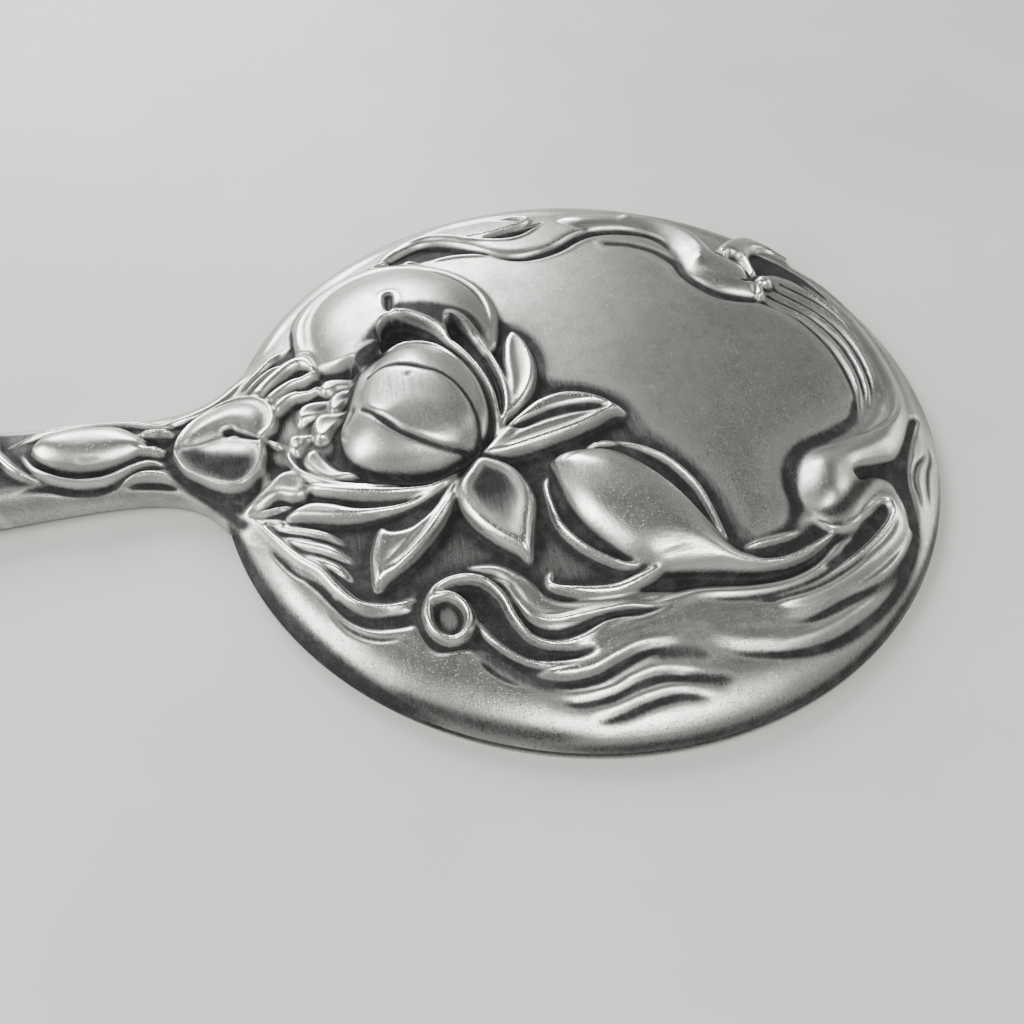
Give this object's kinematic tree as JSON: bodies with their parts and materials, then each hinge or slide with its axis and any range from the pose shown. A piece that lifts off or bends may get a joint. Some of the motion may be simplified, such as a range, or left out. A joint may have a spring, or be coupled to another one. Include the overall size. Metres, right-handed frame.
{
  "type": "hand mirror",
  "caption": "Round-headed hand mirror with a bevelled glass, a rolled metal rim and a chased floral back that runs on into a slim tapering handle.",
  "frame": {"origin": "centre of the round head, on the plane the front rim rests on", "axes": "+X from the handle to the top of the head, +Z out of the chased back, +Y completing a right-handed frame"},
  "size_m": [0.2485, 0.13, 0.0146],
  "materials": {
    "chased_silver": "worn silver plate, bright on the high points and blue-black in the recesses",
    "plain_silver": "polished silver plate with fine wear",
    "bezel_silver": "burnished silver strip",
    "solder": "dull soft solder",
    "plate_glass": "polished plate glass with a ground and polished bevel",
    "mirror_coat": "silvered",
    "backing_paint": "dull red-brown protective paint",
    "felt": "thin wool felt",
    "board": "pressed strawboard",
    "pitch": "set chaser's pitch",
    "steel": "plain rolled strip"
  },
  "bodies": {
    "root": {"back_shell": "chased_silver", "front_shell": "plain_silver", "bezel_ring": "bezel_silver", "seam_solder": "solder", "seat_ring": "solder", "mirror_glass": "plate_glass", "silvering": "mirror_coat", "backing_paint": "backing_paint", "felt_pad": "felt", "backing_board": "board", "head_filler": "pitch", "handle_filler": "pitch", "stiffener_bar": "steel"}
  },
  "joints": []
}
